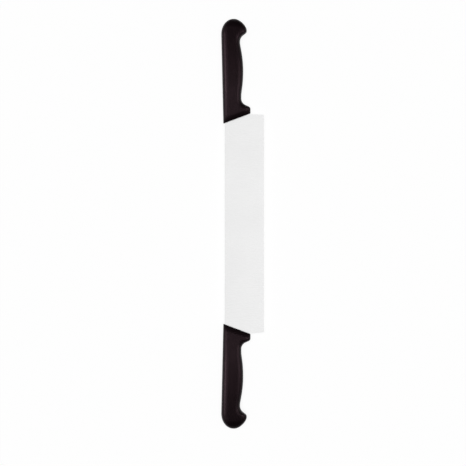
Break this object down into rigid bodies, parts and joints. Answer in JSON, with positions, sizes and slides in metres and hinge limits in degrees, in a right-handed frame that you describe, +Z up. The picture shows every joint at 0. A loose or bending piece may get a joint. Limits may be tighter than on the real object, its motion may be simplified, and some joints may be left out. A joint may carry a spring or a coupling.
{
  "type": "double-handled cheese knife",
  "caption": "Long straight-edged cheese knife with a hooked, guarded black handle moulded on each end of a broad steel blade, pushed down with both hands through wheels and blocks of cheese.",
  "frame": {"origin": "on the surface that the knife lies on, under the middle of its bounding box", "axes": "+X from the spine to the cutting edge, +Y along the knife towards the right handle, +Z up through the thickness"},
  "size_m": [0.0374, 0.36, 0.0124],
  "materials": {
    "blade": "satin-ground stainless steel",
    "right_handle": "fine-grained satin moulding, warm black",
    "left_handle": "fine-grained satin moulding, warm black"
  },
  "bodies": {
    "root": {"blade": "blade", "right_handle": "right_handle", "left_handle": "left_handle"}
  },
  "joints": []
}
